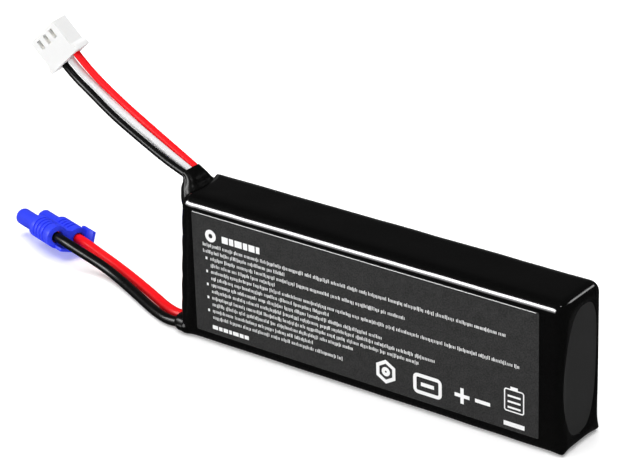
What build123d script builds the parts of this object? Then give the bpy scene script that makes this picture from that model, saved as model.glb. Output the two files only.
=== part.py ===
from build123d import *
import math
import os

# Two-cell lithium-polymer pack for a model aircraft, standing on one long narrow side.
# X runs along the pack, from the lead end (-X) to the end with the open window (+X).
# Y runs through its thickness, with the printed-label side at -Y.  Z is up.
# The origin is at the middle of the side that it stands on.  Millimetres.
os.makedirs("parts", exist_ok=True)

# ---- pouch cells -------------------------------------------------------------------------
cell_length = 91.0
cell_height = 34.0
cell_thickness = 6.95
pouch_wall = 0.2
pouch_radius = 1.5
stack_clearance = 0.1
terrace_length = 3.2
terrace_thickness = 0.8
terrace_margin = 1.5
bond_thickness = 0.4
bond_margin = 4.0

# ---- tabs and the board that joins them ---------------------------------------------------
tab_width = 6.0
tab_thickness = 0.2
tab_spacing = 12.0
tab_fold = 2.6
sealant_cover = 0.1
sealant_side = 0.6
sealant_proud = 0.4
board_gap = 0.65
board_thickness = 0.8
board_side_gap = 0.9
board_foot = 0.6
board_head = 3.6
slot_clearance = 0.15
pad_thickness = 0.1
pad_border = 0.2
balance_pad_inset = 0.15
solder_collar = 0.12
solder_length = 0.9
solder_bead_inset = 0.1
link_thickness = 0.2
link_margin = 0.5

# ---- end pad, insulator, tape ---------------------------------------------------------------
rear_pad_thickness = 2.0
rear_pad_clearance = 0.1
rear_pad_crown = 1.8
insulator_thickness = 0.3
insulator_gap = 0.1
insulator_height = 22.0
tape_width = 14.0
tape_thickness = 0.1
tape_setback = 6.0

# ---- shrink sleeve ---------------------------------------------------------------------------
film = 0.3
film_gap = 0.25
film_gap_height = 0.45
lead_room = 4.75
lead_end_setback = 2.3
edge_radius = 2.5
window_width = 12.8
window_height = 29.4
window_lean = 3.0
window_lift = 0.0

# ---- labels ------------------------------------------------------------------------------------
label_thickness = 0.1
label_length = 91.4
label_height = 29.4
label_radius = 0.4

# ---- leads ---------------------------------------------------------------------------------------
discharge_wire_d = 2.4
balance_wire_d = 1.7
collar_wall = 0.4
balance_slot_side = 0.25
balance_slot_play = 0.6
balance_collar_base_width = 9.4
balance_collar_base_height = 6.4
balance_collar_reach = 1.7
balance_collar_root = 6.6
balance_collar_base_radius = 2.0
balance_collar_tip_radius = 1.4
discharge_lead_gap = 0.3
discharge_slot_side = 0.65
discharge_slot_play = 0.9
discharge_slot_y = -4.1
discharge_slot_z = 2.05
discharge_collar_length = 1.4
discharge_collar_wall = 0.32

# ---- balance plug (2.5 mm pitch, three ways) ----------------------------------------------------
balance_pitch = 2.5
balance_ways = 3
balance_plug_width = 9.6
balance_plug_thickness = 4.6
balance_plug_length = 8.5
balance_ear = 0.7
balance_ear_length = 1.0
balance_ear_slope = 1.0
balance_cavity = 1.9
balance_pin_hole = 1.0
balance_front_wall = 0.8
balance_window_width = 1.1
balance_window_length = 2.3
balance_window_setback = 0.8
balance_wire_depth = 1.0
terminal_clearance = 0.1
terminal_bore = 0.9
terminal_bore_depth = 4.5

# ---- discharge plug (two 2 mm bullet sockets) ----------------------------------------------------
discharge_pitch = 5.9
discharge_plug_length = 18.0
barrel_radius = 2.8
barrel_length = 9.7
socket_tube_radius = 2.05
bullet_radius = 1.0
contact_radius = 1.5
contact_clearance = 0.05
contact_setback = 0.4
bullet_depth = 8.0
rib_count = 4
rib_width = 0.9
rib_groove = 0.6
rib_depth = 0.35
rib_start = 2.6
web_thickness = 3.6
flange_length = 3.0
flange_wall = 0.8
flange_near = 3.2
flange_far = 5.5
flange_drop = 2.7
discharge_wire_depth = 1.0

# ---- worked out from the sizes above -----------------------------------------------------------------
pack_thickness = 2 * cell_thickness + bond_thickness + 2 * (film + film_gap)
pack_height = cell_height + 2 * (film + film_gap_height)
pack_length = (2 * film + 2 * rear_pad_clearance + rear_pad_thickness + cell_length + terrace_length
               + board_gap + board_thickness + lead_room)
rear_x = pack_length / 2
lead_x = -pack_length / 2
end_slope = lead_end_setback / pack_height
# The lead end leans back as it rises, so its widest point is where its lower edge is rounded.
foot_x = lead_x - edge_radius * (end_slope + math.hypot(1, end_slope) - 1)
rear_pad_x = rear_x - film - rear_pad_clearance
cell_rear_x = rear_pad_x - rear_pad_thickness - rear_pad_clearance
cell_lead_x = cell_rear_x - cell_length
terrace_x = cell_lead_x - terrace_length
board_x = terrace_x - board_gap
board_face_x = board_x - board_thickness
pad_face_x = board_face_x - pad_thickness
fold_face_x = pad_face_x - tab_thickness
mid_z = pack_height / 2
front_y = -pack_thickness / 2
back_y = pack_thickness / 2
cell_y = bond_thickness / 2 + cell_thickness / 2
cell_base_z = film + film_gap_height
tab_low_z = mid_z - tab_spacing / 2
tab_high_z = mid_z + tab_spacing / 2
board_width = pack_thickness - 2 * (film + board_side_gap)
board_base_z = film + board_foot
board_top_z = pack_height - film - board_head

balance_slot_width = balance_ways * balance_wire_d + 2 * balance_slot_side
balance_slot_height = balance_wire_d + balance_slot_play
discharge_slot_width = 2 * discharge_wire_d + discharge_lead_gap + 2 * discharge_slot_side
discharge_slot_height = discharge_wire_d + discharge_slot_play
discharge_half_pair = (discharge_wire_d + discharge_lead_gap) / 2

# ---- lead routes: points from the lead end's foot, (along, across, up) --------------------------------
# The two discharge leads lie side by side: each is half their spacing across from its own points.
discharge_black_route = [
    (4.95, -3.35, 2.10), (1.20, -3.35, 2.10), (-3.40, -4.55, 1.35), (-10.00, -2.45, 1.25),
    (-18.60, 1.65, 1.25), (-28.00, 5.75, 1.50), (-34.75, 7.45, 2.50), (-40.20, 7.10, 4.30),
    (-46.08, 7.48, 5.59), (-50.57, 9.16, 5.29)]
discharge_red_route = [
    (4.95, -3.35, 2.30), (1.20, -3.35, 2.30), (-3.40, -4.30, 1.90), (-8.50, -2.45, 1.45),
    (-15.90, 1.20, 1.25), (-25.30, 5.30, 1.25), (-33.75, 8.45, 1.50), (-39.30, 9.40, 2.50),
    (-44.02, 9.96, 3.69), (-48.50, 11.64, 3.39)]
balance_red_route = [
    (4.00, 1.75, 28.90), (3.40, 1.75, 32.70), (-1.30, 1.75, 38.70), (-5.90, 1.55, 41.10),
    (-13.25, 1.30, 45.20), (-20.60, 1.15, 49.30), (-26.70, 0.80, 53.50), (-30.19, 0.37, 56.60),
    (-33.29, 0.05, 59.85)]
balance_white_route = [
    (4.00, 0.00, 28.90), (3.40, 0.00, 32.70), (-1.30, 0.00, 38.45), (-5.95, 0.00, 40.30),
    (-13.50, 0.00, 44.10), (-21.10, 0.00, 48.00), (-27.90, 0.10, 52.30), (-31.99, 0.25, 54.88),
    (-35.09, -0.07, 58.12)]
balance_black_route = [
    (4.00, -1.75, 28.90), (3.40, -1.75, 32.70), (-1.30, -1.75, 38.20), (-6.00, -1.60, 39.40),
    (-13.80, -1.30, 42.90), (-21.60, -1.15, 46.70), (-29.00, -0.60, 51.00), (-33.79, 0.12, 53.16),
    (-36.89, -0.19, 56.40)]
# The balance leads hang on the pack's upper edge, so their heights follow a change of pack height.
balance_rise = pack_height - 35.5

# Where the plugs sit: the balance plug mates along balance_mating, with its ways along balance_row.
balance_mating = Vector(-0.69, -0.07, 0.72).normalized()
balance_row = Vector(0.72, 0.05, 0.69).normalized()
discharge_mating = Vector(-0.935, 0.350, -0.062).normalized()
discharge_row = Vector(-0.350, -0.879, 0.322).normalized()


def placed(route, across=0.0, rise=0.0):
    """A route's points in the pack's frame."""
    return [Vector(lead_x + x, y + across, z + rise) for x, y, z in route]


black_points = placed(discharge_black_route, across=-discharge_half_pair)
red_points = placed(discharge_red_route, across=discharge_half_pair)
balance_points = {
    "red": placed(balance_red_route, rise=balance_rise),
    "white": placed(balance_white_route, rise=balance_rise),
    "black": placed(balance_black_route, rise=balance_rise)}
discharge_entry = ((black_points[-1] + red_points[-1]) * 0.5) - discharge_mating * discharge_wire_depth
balance_entry = balance_points["white"][-1] - balance_mating * balance_wire_depth
discharge_plane = Plane(origin=discharge_entry, x_dir=discharge_row, z_dir=discharge_mating)
balance_plane = Plane(origin=balance_entry, x_dir=balance_row, z_dir=balance_mating)


def square_to_plug(points, plane, way_x, depth):
    """Set a route's last run square to its plug, on the centre line of its own way."""
    run = (points[-1] - points[-2]).length
    points[-1] = plane.from_local_coords(Vector(way_x, 0, depth))
    points[-2] = plane.from_local_coords(Vector(way_x, 0, depth - run))


square_to_plug(black_points, discharge_plane, discharge_pitch / 2, discharge_wire_depth)
square_to_plug(red_points, discharge_plane, -discharge_pitch / 2, discharge_wire_depth)
for way, colour in ((-1, "black"), (0, "white"), (1, "red")):
    square_to_plug(balance_points[colour], balance_plane, way * balance_pitch, balance_wire_depth)


def corner_radii(points):
    """Each corner's arc: 0.45 of its shorter run over the tangent of half the turn."""
    radii = []
    for before, corner, after in zip(points, points[1:], points[2:]):
        arriving = corner - before
        leaving = after - corner
        half_turn = math.radians(arriving.get_angle(leaving)) / 2
        radii.append(0.45 * min(arriving.length, leaving.length) / math.tan(half_turn))
    return radii


def add_lead(name, points, diameter):
    """A lead's tube as one part: straight runs joined by arcs, with its checks printed."""
    radii = corner_radii(points)
    with BuildPart() as lead:
        with BuildLine() as path:
            FilletPolyline(*points, radius=radii)
        centreline = path.wires()[0]
        with BuildSketch(Plane(origin=centreline @ 0, z_dir=centreline % 0)):
            Circle(diameter / 2)
        sweep(path=centreline)
    expected = math.pi * diameter ** 2 / 4 * centreline.length
    low = lead.part.bounding_box().min.Z
    print(f"{name}: {centreline.length:.1f} mm, volume {lead.part.volume / expected:.4f} of its section "
          f"times length, lowest {low:.2f}, radii {[round(r, 1) for r in radii]}")
    lead.part.label = name
    export_step(lead.part, f"parts/{name}.step")
    return lead


def rounded_block(shrink, radius):
    """The pack's outer form, smaller all round by shrink, with its lead end set back at the top."""
    with BuildPart() as block:
        with BuildSketch(Plane.XZ):
            with BuildLine():
                Polyline(
                    (foot_x + shrink + end_slope * shrink, shrink),
                    (rear_x - shrink, shrink),
                    (rear_x - shrink, pack_height - shrink),
                    (foot_x + shrink + end_slope * (pack_height - shrink), pack_height - shrink),
                    close=True)
            make_face()
        extrude(amount=pack_thickness / 2 - shrink, both=True)
        fillet(block.edges(), radius)
    return block.part


pack_form = rounded_block(0.0, edge_radius)
pack_hollow = rounded_block(film, edge_radius - film)

# ---- shrink sleeve -----------------------------------------------------------------------------------
exit_direction = (balance_points["white"][2] - balance_points["white"][1]).normalized()
exit_corner = balance_points["white"][1]
exit_plane = Plane(origin=exit_corner, x_dir=(0, 1, 0), z_dir=exit_direction)
collar_tip = (balance_points["white"][2] - exit_corner).length - balance_collar_reach

with BuildPart() as shrink_sleeve:
    add(pack_form)
    add(pack_hollow, mode=Mode.SUBTRACT)
    # The open window at the far end, where the film draws back into an egg-shaped lip.
    with BuildSketch(Plane.YZ.offset(rear_x - edge_radius)):
        with Locations((0, mid_z + window_lift)):
            Ellipse(window_width / 2, window_height / 2, rotation=-window_lean)
    extrude(amount=edge_radius + film, mode=Mode.SUBTRACT)
    # The slot at the upper corner, where the balance leads come out.
    with BuildSketch(exit_plane):
        SlotOverall(balance_slot_width, balance_slot_height)
    extrude(amount=collar_tip, mode=Mode.SUBTRACT)
    # The slot at the foot of the lead end, where the discharge leads come out.
    with BuildSketch(Plane.YZ.offset(lead_x - film)):
        with Locations((discharge_slot_y, discharge_slot_z)):
            SlotOverall(discharge_slot_width, discharge_slot_height)
    extrude(amount=edge_radius + film, mode=Mode.SUBTRACT)
shrink_sleeve.part.label = "shrink_sleeve"
export_step(shrink_sleeve.part, "parts/shrink_sleeve.step")

# ---- labels -------------------------------------------------------------------------------------------
for name, face_y, outward in (("front_label", front_y, -1), ("back_label", back_y, 1)):
    face = Plane(origin=(0, face_y, mid_z), x_dir=(1, 0, 0), z_dir=(0, outward, 0))
    with BuildPart() as label:
        with BuildSketch(face):
            RectangleRounded(label_length, label_height, label_radius)
        extrude(amount=label_thickness)
    label.part.label = name
    export_step(label.part, f"parts/{name}.step")

# ---- end pad seen through the window ---------------------------------------------------------------------
with BuildPart() as rear_end_pad:
    with BuildSketch(Plane.YZ.offset(rear_pad_x - rear_pad_thickness)):
        with Locations((0, mid_z)):
            RectangleRounded(2 * cell_thickness + bond_thickness, cell_height, edge_radius - film)
    extrude(amount=rear_pad_thickness)
    fillet(rear_end_pad.faces().sort_by(Axis.X)[-1].edges(), rear_pad_crown)
rear_end_pad.part.label = "rear_end_pad"
export_step(rear_end_pad.part, "parts/rear_end_pad.step")

# ---- cells --------------------------------------------------------------------------------------------------
sealant_height = tab_width + 2 * sealant_side
sealant_depth = tab_thickness + 2 * sealant_cover
stack_x = cell_lead_x + pouch_wall + stack_clearance
cell_middle_x = (cell_rear_x + cell_lead_x) / 2
sealants = []


def cell_block(centre_y, inset):
    """A cell's rounded body, smaller all round by inset."""
    with BuildPart() as body:
        with BuildSketch(Plane.XY.offset(cell_base_z + inset)):
            with Locations((cell_middle_x, centre_y)):
                Rectangle(cell_length - 2 * inset, cell_thickness - 2 * inset)
        extrude(amount=cell_height - 2 * inset)
        fillet(body.edges(), pouch_radius - inset)
    return body.part


for number, side in ((1, -1), (2, 1)):
    centre_y = side * cell_y
    with BuildPart() as pouch:
        add(cell_block(centre_y, 0.0))
        # The sealed lip that the tabs leave through.
        with BuildSketch(Plane.XY.offset(cell_base_z + terrace_margin)):
            with Locations((cell_lead_x - terrace_length / 2 + pouch_wall, centre_y)):
                Rectangle(terrace_length + 2 * pouch_wall, terrace_thickness)
        extrude(amount=cell_height - 2 * terrace_margin)
        add(cell_block(centre_y, pouch_wall), mode=Mode.SUBTRACT)
        for tab_z in (tab_low_z, tab_high_z):
            with BuildSketch(Plane.XY.offset(tab_z - sealant_height / 2)):
                with Locations((cell_lead_x - terrace_length / 2, centre_y)):
                    Rectangle(terrace_length + 4 * pouch_wall + 2 * stack_clearance, sealant_depth)
            extrude(amount=sealant_height, mode=Mode.SUBTRACT)
    pouch.part.label = f"cell_{number}_pouch"
    export_step(pouch.part, f"parts/cell_{number}_pouch.step")

    with BuildPart() as stack:
        add(cell_block(centre_y, pouch_wall + stack_clearance))
    stack.part.label = f"cell_{number}_electrode_stack"
    export_step(stack.part, f"parts/cell_{number}_electrode_stack.step")

    # The two cells face opposite ways, so that the link joins tabs at one height.
    poles = ("positive", "negative") if side > 0 else ("negative", "positive")
    for pole, tab_z in zip(poles, (tab_low_z, tab_high_z)):
        with BuildPart() as tab:
            with BuildSketch(Plane.XY.offset(tab_z - tab_width / 2)):
                with Locations(((stack_x + fold_face_x) / 2, centre_y)):
                    Rectangle(stack_x - fold_face_x, tab_thickness)
                with Locations((pad_face_x - tab_thickness / 2, centre_y - side * tab_fold / 2)):
                    Rectangle(tab_thickness, tab_fold)
            extrude(amount=tab_width)
        tab.part.label = f"cell_{number}_{pole}_tab"
        export_step(tab.part, f"parts/cell_{number}_{pole}_tab.step")

        with BuildPart() as sealant:
            with BuildSketch(Plane.XY.offset(tab_z - sealant_height / 2)):
                with Locations(((stack_x + terrace_x - sealant_proud) / 2, centre_y)):
                    Rectangle(stack_x - terrace_x + sealant_proud, sealant_depth)
            extrude(amount=sealant_height)
            add(tab.part, mode=Mode.SUBTRACT)
        sealants.append(sealant.part)

tab_sealant_films = Compound(children=sealants, label="tab_sealant_films")
export_step(tab_sealant_films, "parts/tab_sealant_films.step")

# ---- bonding sheet between the cells ------------------------------------------------------------------------
with BuildPart() as cell_bond_pad:
    with BuildSketch(Plane.XZ):
        with Locations((cell_middle_x, mid_z)):
            Rectangle(cell_length - 2 * bond_margin, cell_height - 2 * bond_margin)
    extrude(amount=bond_thickness / 2, both=True)
cell_bond_pad.part.label = "cell_bond_pad"
export_step(cell_bond_pad.part, "parts/cell_bond_pad.step")

# ---- tape that holds the two cells together ---------------------------------------------------------------------
stack_thickness = 2 * cell_thickness + bond_thickness
with BuildPart() as cell_wrap_tape:
    with BuildSketch(Plane.YZ.offset(cell_lead_x + tape_setback)):
        with Locations((0, mid_z)):
            RectangleRounded(stack_thickness + 2 * tape_thickness, cell_height + 2 * tape_thickness,
                             pouch_radius + tape_thickness)
            RectangleRounded(stack_thickness, cell_height, pouch_radius, mode=Mode.SUBTRACT)
    extrude(amount=tape_width)
cell_wrap_tape.part.label = "cell_wrap_tape"
export_step(cell_wrap_tape.part, "parts/cell_wrap_tape.step")

# ---- board with its slots and pads ---------------------------------------------------------------------------------
board_height = board_top_z - board_base_z
with BuildPart() as tab_board:
    with BuildSketch(Plane.YZ.offset(board_face_x)):
        with Locations((0, (board_base_z + board_top_z) / 2)):
            Rectangle(board_width, board_height)
        with Locations(*[(side * cell_y, z) for side in (-1, 1) for z in (tab_low_z, tab_high_z)]):
            Rectangle(tab_thickness + 2 * slot_clearance, tab_width + 2 * slot_clearance,
                      mode=Mode.SUBTRACT)
    extrude(amount=board_thickness)
tab_board.part.label = "tab_board"
export_step(tab_board.part, "parts/tab_board.step")

balance_pad_spots = [(p[0].Y, p[0].Z) for p in balance_points.values()]
fold_spots = [(side * (cell_y - tab_fold / 2 - tab_thickness), z)
              for side in (-1, 1) for z in (tab_low_z, tab_high_z)]
with BuildPart() as board_pads:
    with BuildSketch(Plane.YZ.offset(pad_face_x)):
        for points in (black_points, red_points):
            with Locations((points[0].Y, points[0].Z)):
                Rectangle(discharge_wire_d + pad_border, 2 * (points[0].Z - board_base_z))
        with Locations(*balance_pad_spots):
            Rectangle(balance_wire_d - 2 * balance_pad_inset, balance_wire_d + 2 * pad_border)
        with Locations(*fold_spots):
            Rectangle(tab_fold - 2 * slot_clearance, tab_width)
    extrude(amount=pad_thickness)
board_pads.part.label = "board_pads"
export_step(board_pads.part, "parts/board_pads.step")

# ---- link that joins the cells in series, over the two upper tabs ------------------------------------------------------
with BuildPart() as series_link:
    with BuildSketch(Plane.YZ.offset(fold_face_x - link_thickness)):
        with Locations((0, tab_high_z)):
            Rectangle(2 * (cell_y - link_margin), tab_width - 2 * link_margin)
    extrude(amount=link_thickness)
series_link.part.label = "series_link"
export_step(series_link.part, "parts/series_link.step")

# ---- leads -----------------------------------------------------------------------------------------------------------------
discharge_wires = {
    "black": add_lead("discharge_wire_black", black_points, discharge_wire_d),
    "red": add_lead("discharge_wire_red", red_points, discharge_wire_d)}
balance_wires = {
    colour: add_lead(f"balance_wire_{colour}", points, balance_wire_d)
    for colour, points in balance_points.items()}

# ---- solder: a ring round each discharge lead, a bead under each balance lead -----------------------------------------------
with BuildPart() as solder_joints:
    for colour, points in (("black", black_points), ("red", red_points)):
        start = points[0]
        with BuildSketch(Plane.YZ.offset(pad_face_x)):
            with Locations((start.Y, start.Z)):
                Circle(discharge_wire_d / 2 + solder_collar)
        extrude(amount=-solder_length)
        add(discharge_wires[colour].part, mode=Mode.SUBTRACT)
    for colour, points in balance_points.items():
        start = points[0]
        with BuildSketch(Plane.YZ.offset(pad_face_x)):
            with Locations((start.Y, start.Z + solder_bead_inset)):
                Circle(balance_wire_d / 2 - solder_bead_inset)
        extrude(amount=start.X - pad_face_x)
        add(balance_wires[colour].part, mode=Mode.SUBTRACT)
solder_joints.part.label = "solder_joints"
export_step(solder_joints.part, "parts/solder_joints.step")

# ---- insulator behind the lead end's film ----------------------------------------------------------------------------------
insulator_base_z = edge_radius
with BuildPart() as lead_end_insulator:
    with BuildSketch(Plane.XZ):
        with BuildLine():
            inner_x = foot_x + film + insulator_gap
            top_z = insulator_base_z + insulator_height
            Polyline(
                (inner_x + end_slope * insulator_base_z, insulator_base_z),
                (inner_x + insulator_thickness + end_slope * insulator_base_z, insulator_base_z),
                (inner_x + insulator_thickness + end_slope * top_z, top_z),
                (inner_x + end_slope * top_z, top_z),
                close=True)
        make_face()
    extrude(amount=pack_thickness / 2 - edge_radius, both=True)
    with BuildSketch(Plane.YZ.offset(lead_x)):
        with Locations((discharge_slot_y, discharge_slot_z)):
            Rectangle(discharge_slot_width, discharge_slot_height)
    extrude(amount=film + insulator_gap + 2 * insulator_thickness, mode=Mode.SUBTRACT)
lead_end_insulator.part.label = "lead_end_insulator"
export_step(lead_end_insulator.part, "parts/lead_end_insulator.step")

# ---- collars where the leads come out ----------------------------------------------------------------------------------------
with BuildPart() as balance_exit_collar:
    with BuildSketch(exit_plane.offset(collar_tip - balance_collar_root)):
        RectangleRounded(balance_collar_base_width, balance_collar_base_height,
                         balance_collar_base_radius)
    with BuildSketch(exit_plane.offset(collar_tip)):
        RectangleRounded(balance_slot_width + 2 * collar_wall, balance_slot_height + 2 * collar_wall,
                         balance_collar_tip_radius)
    loft()
    add(pack_form, mode=Mode.SUBTRACT)
    with BuildSketch(exit_plane.offset(collar_tip)):
        SlotOverall(balance_slot_width, balance_slot_height)
    extrude(amount=-balance_collar_root, mode=Mode.SUBTRACT)
balance_exit_collar.part.label = "balance_exit_collar"
export_step(balance_exit_collar.part, "parts/balance_exit_collar.step")

with BuildPart() as discharge_exit_collar:
    with BuildSketch(Plane.YZ.offset(lead_x - discharge_collar_length)):
        with Locations((discharge_slot_y, discharge_slot_z)):
            SlotOverall(discharge_slot_width + 2 * collar_wall,
                        discharge_slot_height + 2 * discharge_collar_wall)
            SlotOverall(discharge_slot_width, discharge_slot_height, mode=Mode.SUBTRACT)
    extrude(amount=discharge_collar_length + edge_radius)
    add(pack_form, mode=Mode.SUBTRACT)
discharge_exit_collar.part.label = "discharge_exit_collar"
export_step(discharge_exit_collar.part, "parts/discharge_exit_collar.step")

# ---- balance plug ----------------------------------------------------------------------------------------------------------------
half_width = balance_plug_width / 2
ear_half = half_width + balance_ear
with BuildPart() as balance_plug_housing:
    with BuildSketch(Plane(origin=balance_plane.origin, x_dir=balance_plane.x_dir,
                           z_dir=-balance_plane.y_dir)):
        with BuildLine():
            Polyline(
                (-ear_half, 0), (ear_half, 0), (ear_half, balance_ear_length),
                (half_width, balance_ear_length + balance_ear_slope), (half_width, balance_plug_length),
                (-half_width, balance_plug_length), (-half_width, balance_ear_length + balance_ear_slope),
                (-ear_half, balance_ear_length), close=True)
        make_face()
    extrude(amount=balance_plug_thickness / 2, both=True)
    with BuildSketch(balance_plane):
        with GridLocations(balance_pitch, 1, balance_ways, 1):
            Rectangle(balance_cavity, balance_cavity)
    extrude(amount=balance_plug_length - balance_front_wall, mode=Mode.SUBTRACT)
    with BuildSketch(balance_plane):
        with GridLocations(balance_pitch, 1, balance_ways, 1):
            Rectangle(balance_pin_hole, balance_pin_hole)
    extrude(amount=balance_plug_length, mode=Mode.SUBTRACT)
    # The three latch windows, open to the label side just behind the mating end.
    with BuildSketch(balance_plane.offset(balance_plug_length - balance_window_setback)):
        with Locations((0, -balance_plug_thickness / 2)):
            with GridLocations(balance_pitch, 1, balance_ways, 1):
                Rectangle(balance_window_width, balance_plug_thickness - balance_cavity)
    extrude(amount=-balance_window_length, mode=Mode.SUBTRACT)
balance_plug_housing.part.label = "balance_plug_housing"
export_step(balance_plug_housing.part, "parts/balance_plug_housing.step")

with BuildPart() as balance_plug_terminals:
    with BuildSketch(balance_plane.offset(balance_wire_depth)):
        with GridLocations(balance_pitch, 1, balance_ways, 1):
            Rectangle(balance_cavity - terminal_clearance, balance_cavity - terminal_clearance)
    extrude(amount=balance_plug_length - balance_front_wall - balance_wire_depth)
    with BuildSketch(balance_plane.offset(balance_plug_length - balance_front_wall)):
        with GridLocations(balance_pitch, 1, balance_ways, 1):
            Rectangle(terminal_bore, terminal_bore)
    extrude(amount=-terminal_bore_depth, mode=Mode.SUBTRACT)
balance_plug_terminals.part.label = "balance_plug_terminals"
export_step(balance_plug_terminals.part, "parts/balance_plug_terminals.step")

# ---- discharge plug --------------------------------------------------------------------------------------------------------------
near_x = discharge_pitch / 2
far_x = -discharge_pitch / 2
with BuildPart() as discharge_plug_housing:
    with BuildSketch(discharge_plane):
        with Locations((near_x, 0), (far_x, 0)):
            Circle(barrel_radius)
        Rectangle(discharge_pitch, web_thickness)
    extrude(amount=barrel_length)
    for rib in range(rib_count):
        groove_z = rib_start + rib * (rib_width + rib_groove)
        with BuildSketch(discharge_plane.offset(groove_z)):
            Rectangle(4 * discharge_pitch, 4 * discharge_pitch)
            with Locations((near_x, 0), (far_x, 0)):
                Circle(barrel_radius - rib_depth, mode=Mode.SUBTRACT)
            Rectangle(discharge_pitch, web_thickness, mode=Mode.SUBTRACT)
        extrude(amount=rib_groove, mode=Mode.SUBTRACT)
    with BuildSketch(discharge_plane.offset(barrel_length)):
        with Locations((near_x, 0), (far_x, 0)):
            Circle(socket_tube_radius)
    extrude(amount=discharge_plug_length - barrel_length)
    # The finger flange behind the leads: a floor under both and a wall on the far side.
    with BuildSketch(discharge_plane.offset(-flange_length)):
        with BuildLine():
            Polyline(
                (-flange_far, -flange_drop), (flange_near, -flange_drop),
                (flange_near, -flange_drop + flange_wall), (-flange_far + flange_wall, -flange_drop + flange_wall),
                (-flange_far + flange_wall, flange_drop), (-flange_far, flange_drop), close=True)
        make_face()
    extrude(amount=flange_length + rib_start)
    with BuildSketch(discharge_plane):
        with Locations((near_x, 0), (far_x, 0)):
            Circle(contact_radius + contact_clearance)
    extrude(amount=discharge_plug_length, mode=Mode.SUBTRACT)
discharge_plug_housing.part.label = "discharge_plug_housing"
export_step(discharge_plug_housing.part, "parts/discharge_plug_housing.step")

contact_end = discharge_plug_length - contact_setback
for pole, centre_x in (("negative", near_x), ("positive", far_x)):
    with BuildPart() as contact:
        with BuildSketch(discharge_plane.offset(discharge_wire_depth)):
            with Locations((centre_x, 0)):
                Circle(contact_radius)
        extrude(amount=contact_end - discharge_wire_depth)
        with BuildSketch(discharge_plane.offset(contact_end)):
            with Locations((centre_x, 0)):
                Circle(bullet_radius)
        extrude(amount=-bullet_depth, mode=Mode.SUBTRACT)
    contact.part.label = f"discharge_contact_{pole}"
    export_step(contact.part, f"parts/discharge_contact_{pole}.step")

    mouth = discharge_plane.offset(contact_end).from_local_coords(Vector(centre_x, 0, 0))
    print(f"{pole} socket mouth {mouth.X:.3f} {mouth.Y:.3f} {mouth.Z:.3f}")
print(f"mating {discharge_plane.z_dir.X:.4f} {discharge_plane.z_dir.Y:.4f} {discharge_plane.z_dir.Z:.4f}")
print(f"pack {pack_length:.2f} x {pack_thickness:.2f} x {pack_height:.2f} mm")
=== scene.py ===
"""Two-cell lithium-polymer pack for a model aircraft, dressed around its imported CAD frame.

Sizes in the classes below are millimetres. MM turns them into the metres of the frame. The pack stands on one
long narrow side: X runs from the lead end (-X) to the end with the open window (+X), Y through the thickness,
with the printed front at -Y, and Z is up.
"""
import logging
import math
import random
from collections.abc import Sequence
from dataclasses import dataclass, field
from enum import Enum

import bmesh
import bpy
from mathutils import Matrix, Vector, noise


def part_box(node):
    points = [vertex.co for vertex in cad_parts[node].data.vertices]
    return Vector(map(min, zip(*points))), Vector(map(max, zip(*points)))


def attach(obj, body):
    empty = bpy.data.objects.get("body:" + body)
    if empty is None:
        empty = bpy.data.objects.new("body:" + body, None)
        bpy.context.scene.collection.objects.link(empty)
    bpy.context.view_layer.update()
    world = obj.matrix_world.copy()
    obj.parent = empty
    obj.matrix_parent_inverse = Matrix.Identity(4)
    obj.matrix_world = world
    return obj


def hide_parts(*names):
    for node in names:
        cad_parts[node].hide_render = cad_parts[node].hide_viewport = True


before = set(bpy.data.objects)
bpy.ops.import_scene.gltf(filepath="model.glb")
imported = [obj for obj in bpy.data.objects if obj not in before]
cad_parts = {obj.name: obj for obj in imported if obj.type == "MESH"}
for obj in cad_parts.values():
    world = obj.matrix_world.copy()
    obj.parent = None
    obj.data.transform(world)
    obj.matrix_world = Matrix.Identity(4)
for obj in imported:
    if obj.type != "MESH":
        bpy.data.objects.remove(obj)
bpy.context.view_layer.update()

MM = 0.001
BODY = "root"
# How CAD shapes are cleaned before their edges are rounded, in millimetres and degrees.
WELD_GAP = 0.002
FLAT_ANGLE = 0.6
SHARP_ANGLE = 35
Colour = tuple[float, float, float]
Spot = tuple[float, float]
Place = tuple[float, float, float]
Box = tuple[float, float, float, float]
log = logging.getLogger("lipo_pack")


# ---- small tools -------------------------------------------------------------------------------------


def smooth_step(low: float, high: float, value: float) -> float:
    """Rise smoothly from 0 where value is at low to 1 where it is at high."""
    t = min(max((value - low) / (high - low), 0.0), 1.0)
    return t * t * (3 - 2 * t)


def hump(centre: float, width: float, value: float) -> float:
    """Give a soft bump of height 1 at centre that fades over width."""
    return math.exp(-((value - centre) / width) ** 2)


def node_box(node: str) -> tuple[Vector, Vector]:
    """Lowest and highest corner of a CAD node, in millimetres."""
    low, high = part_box(node)
    return low / MM, high / MM


def add_piece(name: str, mesh: bpy.types.Mesh, finish: bpy.types.Material,
              stands_for: Sequence[str] = ()) -> bpy.types.Object:
    """Put a finished mesh into the scene as a piece of the pack.

    Args:
        name: Name of the piece.
        mesh: Its mesh, in metres in the frame.
        finish: Material to dress it in.
        stands_for: CAD nodes that it is shown instead of.

    Returns:
        The new object, riding on the pack's body.
    """
    piece = bpy.data.objects.new(name, mesh)
    bpy.context.scene.collection.objects.link(piece)
    mesh.materials.clear()
    mesh.materials.append(finish)
    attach(piece, BODY)
    if stands_for:
        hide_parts(*stands_for)
    log.info("piece %s: %d faces", name, len(mesh.polygons))
    return piece


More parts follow.
